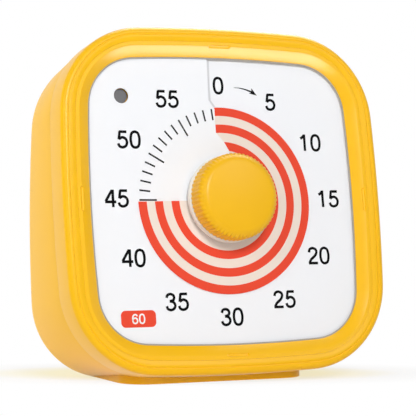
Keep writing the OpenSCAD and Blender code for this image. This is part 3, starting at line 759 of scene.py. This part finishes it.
print("figures drawn:", ", ".join(figure_strokes))

# %% [markdown]
# A stroke's few points become a smooth line with a spline that passes through every point it is given, so
# a figure can be corrected by moving one point. The line is then widened by half a pen to each side,
# square to its own direction.

# %% Strokes
def smooth_line(points, closed, steps=7):
    n = len(points)
    line = []
    for i in range(n if closed else n - 1):
        p = [points[(i + k) % n] if closed else points[min(max(i + k, 0), n - 1)] for k in (-1, 0, 1, 2)]
        for s in range(steps):
            t = s / steps
            weights = (-0.5 * t + t * t - 0.5 * t ** 3, 1 - 2.5 * t * t + 1.5 * t ** 3,
                       0.5 * t + 2 * t * t - 1.5 * t ** 3, -0.5 * t * t + 0.5 * t ** 3)
            line.append(tuple(sum(w * q[c] for w, q in zip(weights, p)) for c in (0, 1)))
    return line if closed else line + [points[-1]]


def stroke_edges(kind, points, width):
    closed = kind == "loop"
    line = points if kind == "line" else smooth_line(points, closed)
    n = len(line)
    left_edge, right_edge = [], []
    for i, (x, y) in enumerate(line):
        x0, y0 = line[(i - 1) % n] if closed else line[max(i - 1, 0)]
        x1, y1 = line[(i + 1) % n] if closed else line[min(i + 1, n - 1)]
        length = math.hypot(x1 - x0, y1 - y0)
        nx, ny = (y0 - y1) / length * width / 2, (x1 - x0) / length * width / 2
        left_edge.append((x + nx, y + ny))
        right_edge.append((x - nx, y - ny))
    return left_edge, right_edge, closed


print("a straight stroke has", len(stroke_edges(*figure_strokes["1"][0], pen)[0]), "points to a side")

# %% [markdown]
# Print has no height to speak of, but two surfaces at one level would flicker, so each stroke is a very
# thin closed strip that stands a hair over the card. Every point asks the card for its height, and the
# print follows the climb.

# %% Print
print_lift, print_depth = 0.02, 0.02


def text_strokes(text):
    strokes = []
    for k, figure in enumerate(text):
        for kind, points in figure_strokes[figure]:
            moved = [(x * stretch + k * advance, y) for x, y in points]
            strokes.append(stroke_edges(kind, moved, pen))
    across = [x for left_edge, right_edge, closed in strokes for x, y in left_edge + right_edge]
    return strokes, (min(across) + max(across)) / 2


def strip_faces(base, n, closed):
    low = 2 * n
    faces = []
    for i in range(n if closed else n - 1):
        j = (i + 1) % n
        a, b, c, d = base + i, base + j, base + n + j, base + n + i
        faces += [(a, d, c, b), (a + low, b + low, c + low, d + low),
                  (a, b, b + low, a + low), (d, d + low, c + low, c)]
    if not closed:
        for a, d in ((base, base + n), (base + n - 1, base + 2 * n - 1)):
            faces.append((a, a + low, d + low, d))
    return faces


def printed(name, text, x, y, height, material, lift=print_lift):
    strokes, middle = text_strokes(text)
    points, faces = [], []
    for left_edge, right_edge, closed in strokes:
        faces += strip_faces(len(points), len(left_edge), closed)
        for drop in (0, print_depth):
            for px, py in left_edge + right_edge:
                fx, fy = x + (px - middle) * height, y + (py - 0.5) * height
                points.append((fx, fy, card_height(fx, fy) + lift - drop))
    obj = mesh_piece(name, points, faces, material, smooth=False)
    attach(obj, "housing")
    return obj


print("the print stands", print_lift, "mm over the card")

# %% [markdown]
# Twelve numbers stand upright in a ring outside the marks, 0 at the top and five more at each step
# clockwise. A small shift for each, in millimetres, fits it to its place in the photograph.

# %% Numbers
number_ring, number_height = 28.5, 4.18
nudges = [(0.18, 0.07), (-0.02, 0.1), (0.11, 0.42), (0.31, 0.44), (0.24, 0.37), (0.25, 0.14),
          (-0.08, 0.02), (-0.11, 0.16), (-0.24, 0.36), (0.06, 0.36), (0.15, 0.32), (0.26, 0.04)]
for k, (dx, dy) in enumerate(nudges):
    x, y = on_circle(number_ring, 360 * k / len(nudges))
    printed("number_%02d" % (5 * k), str(5 * k), x + dx, y + dy, number_height, ink_black)
print("numbers:", len(nudges))

# %% [markdown]
# The badge at the lower left is a small red box with round corners, printed flat on the card. One face
# with many corners is enough for it, laid at the card's height. The white number is drawn with the same
# pen, a little higher, so that it covers the red.

# %% Badge
badge_at, badge_size, badge_corner = (-24.5, -28.3), (8.9, 4.0), 1.15
plate_lift, badge_figure_height, badge_figure_lift = 0.015, 2.3, 0.035


def rounded_box(w, h, r, steps=8):
    corners = [(w / 2 - r, h / 2 - r, 0), (-w / 2 + r, h / 2 - r, 90),
               (-w / 2 + r, -h / 2 + r, 180), (w / 2 - r, -h / 2 + r, 270)]
    return [p for cx, cy, a in corners for p in arc(cx, cy, r, a, a + 90, steps)]


def plate_on_card(name, shape, x, y, material):
    points = [(x + px, y + py, card_height(x + px, y + py) + plate_lift) for px, py in shape]
    obj = mesh_piece(name, points, [tuple(range(len(points)))], material)
    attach(obj, "housing")
    return obj


badge = plate_on_card("badge", rounded_box(*badge_size, badge_corner), *badge_at, print_red)
printed("badge_number", "60", *badge_at, badge_figure_height, print_white, lift=badge_figure_lift)
print("points round the badge:", len(badge.data.vertices))

# %% [markdown]
# A small black arrow to the right of the 0 shows which way the knob turns. It is a curved line that widens
# towards its three-cornered head. The pen's own function gives both edges of the line, and each pair of
# points is then drawn in towards the middle.

# %% Arrow
arrow_line = [(4.39, 28.16), (5.8, 28.13), (7.52, 27.81), (9.15, 27.25)]
arrow_head = [(9.26, 28.17), (10.65, 26.36), (8.47, 26.86)]
tail_half, neck_half = 0.05, 0.22


def arrow_shape():
    left_edge, right_edge, closed = stroke_edges("curve", arrow_line, 1.0)
    upper, lower = [], []
    for i, ((ax, ay), (bx, by)) in enumerate(zip(left_edge, right_edge)):
        half = tail_half + (neck_half - tail_half) * i / (len(left_edge) - 1)
        mx, my, nx, ny = (ax + bx) / 2, (ay + by) / 2, (ax - bx) * half, (ay - by) * half
        upper.append((mx + nx, my + ny))
        lower.append((mx - nx, my - ny))
    return upper + arrow_head + lower[::-1]


arrow = plate_on_card("turn_arrow", arrow_shape(), 0, 0, ink_black)
print("points round the arrow:", len(arrow.data.vertices))

# %% [markdown]
# The knob is a short cylinder with a broad round edge and a slightly domed face. A turned piece is a loft
# of circles along its profile. It has far more steps round than a smooth cylinder needs, because fine
# ribs will grow on it.

# %% Knob body
knob_radius, rib_depth = 10.5, 0.27
knob_low, knob_top, knob_round, knob_edge = 2.3, 8.7, 2.2, 0.2
side_step, dome_drop, dome_radius, knob_steps = 0.4, 0.4, 8.3, 720
dome_radii = (7.6, 6.5, 5.0, 3.5, 2.0, 1.0, 0.2)
side = knob_radius - rib_depth
knob_profile = [(0.0, knob_low), (side - knob_edge, knob_low), (side, knob_low + knob_edge)]
knob_profile += [(side, knob_low + knob_edge + side_step * i) for i in range(1, 9)]
knob_profile += arc(side - knob_round, knob_top - dome_drop - knob_round, knob_round, 0, 84, 14)
knob_profile += [(r, knob_top - dome_drop * (r / dome_radius) ** 2) for r in dome_radii]


def revolve(name, profile, material, steps, place):
    rings = [[(x, y, z) for x, y in circle(0, 0, r, steps)] for r, z in profile]
    return loft(name, rings, material, place=place)


knob_body = revolve("knob_body", knob_profile, knob_yellow, knob_steps, Matrix.Identity(4))
print_faces(knob_body)

# %% [markdown]
# Sixty ribs run up the side of the knob for the fingers and die out where the edge turns into the face. A
# wave round the circle moves the surface outwards, and a fade along the height takes it back to nothing.
# That is a rule for every point, so a tree of nodes suits it better than sixty modelled ribs.

# %% Ribs of the knob
rib_sizes = {"Count": 60.0, "Depth": rib_depth, "Fade start": 6.6, "Fade end": 8.2}
crown_power = 0.8


def grip_tree():
    tree, given = growing_tree("grip_ribs", rib_sizes, from_mesh=True)
    position = node(tree, "GeometryNodeInputPosition").outputs[0]
    x, y, z = node(tree, "ShaderNodeSeparateXYZ", {0: position}).outputs
    angle = math_node(tree, "ARCTAN2", y, x)
    wave = math_node(tree, "COSINE", math_node(tree, "MULTIPLY", angle, given["Count"]))
    half = math_node(tree, "MULTIPLY", math_node(tree, "ADD", wave, 1), 0.5)
    crown = math_node(tree, "MULTIPLY", math_node(tree, "POWER", half, crown_power), given["Depth"])
    fade = node(tree, "ShaderNodeMapRange", {
        "Value": z, "From Min": given["Fade start"], "From Max": given["Fade end"],
        "To Min": 1, "To Max": 0}, interpolation_type="SMOOTHSTEP")
    height = math_node(tree, "MULTIPLY", crown, fade.outputs["Result"])
    away = vector(tree, math_node(tree, "MULTIPLY", math_node(tree, "COSINE", angle), height),
                  math_node(tree, "MULTIPLY", math_node(tree, "SINE", angle), height), 0)
    swell = node(tree, "GeometryNodeSetPosition", {"Geometry": given["Geometry"], "Offset": away})
    end_painted(tree, swell.outputs[0], given["Material"])
    return tree


knob = grow(knob_body, grip_tree(), dial_frame, Material=knob_yellow)
sharpen(knob, 50)
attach(knob, "knob_set")
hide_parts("knob")
print("knob:", round(2 * knob_radius, 1), "mm across its ribs")

# %% [markdown]
# The rear shell is a second moulding, a deep cup whose outline shrinks a little towards its flat, upright
# back and turns into it over a wide round. The dial leans and the back does not, so each ring of the loft
# is sheared by the angle of the lean. The rings go over the outside, round the seam and down the inside.

# %% Cup of the rear shell
wall, body_depth, back_off, back_round = 2.0, 33.3, 1.5, 6.5
dial_y, dial_z = dial_centre.y / MM, dial_centre.z / MM
back_y = dial_y + body_depth * math.cos(lean)
seam_profile = [
    (0.3, -seam_depth - 0.35), (0.35, -seam_depth - 0.12), (0.5, -seam_depth), (2.35, -seam_depth),
    (2.35, -seam_depth + 1.6), (3.35, -seam_depth + 1.6), (3.35, -seam_depth - 1)]


def back_rings(inset, radius, steps):
    off, depth = back_off + inset, body_depth - inset
    angles = [math.radians(90 * i / steps) for i in range(steps + 1)]
    return [ring(off + radius * (1 - math.cos(a)), radius * (1 - math.sin(a)) - depth, math.tan(lean))
            for a in angles]


outside, inside = back_rings(0, back_round, 14)[::-1], back_rings(wall, back_round - wall, 8)
rear = loft("rear_cup", outside + [ring(o, z) for o, z in seam_profile] + inside, yellow)
print_faces(rear)

# %% [markdown]
# Inside the cup stand four screw towers, two posts for the circuit board and the walls of the cell bay. A
# low foot fills the wedge under the lean. Simple solids are made a little too long, trimmed at the back,
# and joined to the cup with a Boolean union, so the shell stays one closed moulding.

# %% Walls, towers and foot of the rear shell
tower_at = [(30, 30), (-30, 30), (-30, -30), (30, -30)]
tower_radius, tower_meet = 4.0, -16
post_radius, post_meet, post_at = 2.0, -10.2, [(-20, 31), (8, 31)]
beyond_back = -66
bay_front, bay_low, bay_top, bay_half = back_y - 18.65, 15.15, 33.65, 30.4
foot_half, foot_high, foot_round, foot_back_round, foot_behind = 24.5, 3.3, 7, 1, 9.2


def box(x0, x1, y0, y1, z0, z1):
    low, high = [[(x0, y0, z), (x1, y0, z), (x1, y1, z), (x0, y1, z)] for z in (z0, z1)]
    return loft("box", [low, high], yellow, place=world_frame)


def foot_block(y0, y1):
    h, r, s = foot_half, foot_round, foot_back_round
    corners = [(-h + r, y0 + r, r, 180), (h - r, y0 + r, r, 270),
               (h - s, y1 - s, s, 0), (-h + s, y1 - s, s, 90)]
    shape = [p for x, y, radius, a in corners for p in arc(x, y, radius, a, a + 90, 12)]
    rings = [[(x, y, z) for x, y in shape] for z in (-0.5, foot_high)]
    return loft("foot", rings, yellow, place=world_frame)


def joined(pieces):
    whole = bmesh.new()
    for piece in pieces:
        whole.from_mesh(piece.data)
        bpy.data.objects.remove(piece)
    mesh = bpy.data.meshes.new("joined")
    whole.to_mesh(mesh)
    whole.free()
    mesh.materials.append(yellow)
    return link(bpy.data.objects.new("joined", mesh))


towers = joined([rod(tower_radius, beyond_back, tower_meet, x, y) for x, y in tower_at]
                + [rod(post_radius, beyond_back, post_meet, x, y) for x, y in post_at])
cut(towers, box(-200, 200, -200, back_y - wall + 0.3, -50, 200), operation="INTERSECT")
foot = foot_block(dial_y - body_half * math.sin(lean) + foot_behind * math.cos(lean), back_y - 4)
bay = box(-bay_half, bay_half, bay_front, back_y - wall + 0.5, bay_low, bay_top)
cut(rear, foot, bay, towers, operation="UNION")
print_faces(rear)

# %% [markdown]
# The back has the openings that such a timer needs: the cell bay behind its door, a scoop for the thumb,
# wells and holes for four screws, a ring of sound holes, and a slot for the slider in a shallow recess.
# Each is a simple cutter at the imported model's place. The last one trims the foot flat at the desk.

# %% Openings of the rear shell
cell_y, cell_z, cell_radius, cell_half, cell_lift = back_y - 9.8, 24, 7.25, 28.8, 0.8
door_half, door_rise, scoop_rise, scoop_radius, scoop_depth = 29.8, 9.0, 8.8, 7, 0.8
well_radius, screw_radius, screw_seat = 3.0, 1.6, -20
sound_x, sound_z, sound_radius, sound_step = -15, dial_z + 15.6, 0.8, 3
slot_x, slot_half, slot_rise = 17, 5, 1.6
recess_half, recess_rise, recess_depth = 8.8, 3.5, 0.8


def back_rod(x, z, radius, y0, y1, steps=32):
    circles = [[(px, y, pz) for px, pz in circle(x, z, radius, steps)] for y in (y0, y1)]
    return loft("rod", circles, yellow, place=world_frame)


sound_holes = [(0, 0)] + circle(0, 0, sound_step, 6) + circle(0, 0, 2 * sound_step, 12)
cut(rear,
    box(-cell_half, cell_half, cell_y - cell_radius, back_y + 50,
        cell_z - cell_radius, cell_z + cell_radius + cell_lift),
    box(-door_half, door_half, back_y - wall, back_y + 20, cell_z - door_rise, cell_z + door_rise),
    back_rod(0, cell_z + scoop_rise, scoop_radius, back_y - scoop_depth, back_y + 5, 64),
    joined([rod(well_radius, beyond_back - 0.6, screw_seat, x, y) for x, y in tower_at]),
    joined([rod(screw_radius, screw_seat - 1, tower_meet + 2, x, y) for x, y in tower_at]),
    joined([back_rod(sound_x + x, sound_z + z, sound_radius, back_y - 4, back_y + 2)
            for x, z in sound_holes]),
    box(slot_x - slot_half, slot_x + slot_half, back_y - wall - 1, back_y + 2,
        sound_z - slot_rise, sound_z + slot_rise),
    box(slot_x - recess_half, slot_x + recess_half, back_y - recess_depth, back_y + 2.2,
        sound_z - recess_rise, sound_z + recess_rise),
    box(-200, 200, -200, 200, -50, 0))
sharpen(rear, 40)
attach(rear, "housing")
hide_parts("rear_shell")
shine_only_on(lamps["under"], rear)
print_faces(rear)

# %% [markdown]
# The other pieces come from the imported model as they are: the lens, the collar under the knob, the door and
# the slider on the back, and everything inside. Their meshes are exact already, so they only get their
# finish. A new mesh for each would show no difference.

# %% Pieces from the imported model
finishes = {
    "battery_door": yellow, "indicator_lens": smoke, "indicator_led": natural, "circuit_board": board_green,
    "buzzer": black, "switch_case": steel, "movement_case": natural, "movement_cover": natural,
    "drive_coil": copper, "cell": sleeve_blue, "contact_plate": steel, "contact_leaf": steel,
    "case_screws": steel, "knob_collar": collar_pale, "drive_shaft": steel, "clutch_washer": brass,
    "disc_hub": natural, "drive_wheel": brass, "drive_pinion": brass, "sound_slider": black}
for name, material in finishes.items():
    mesh = nodes[name].data
    mesh.materials.clear()
    mesh.materials.append(material)
print("finished as they are:", len(finishes))
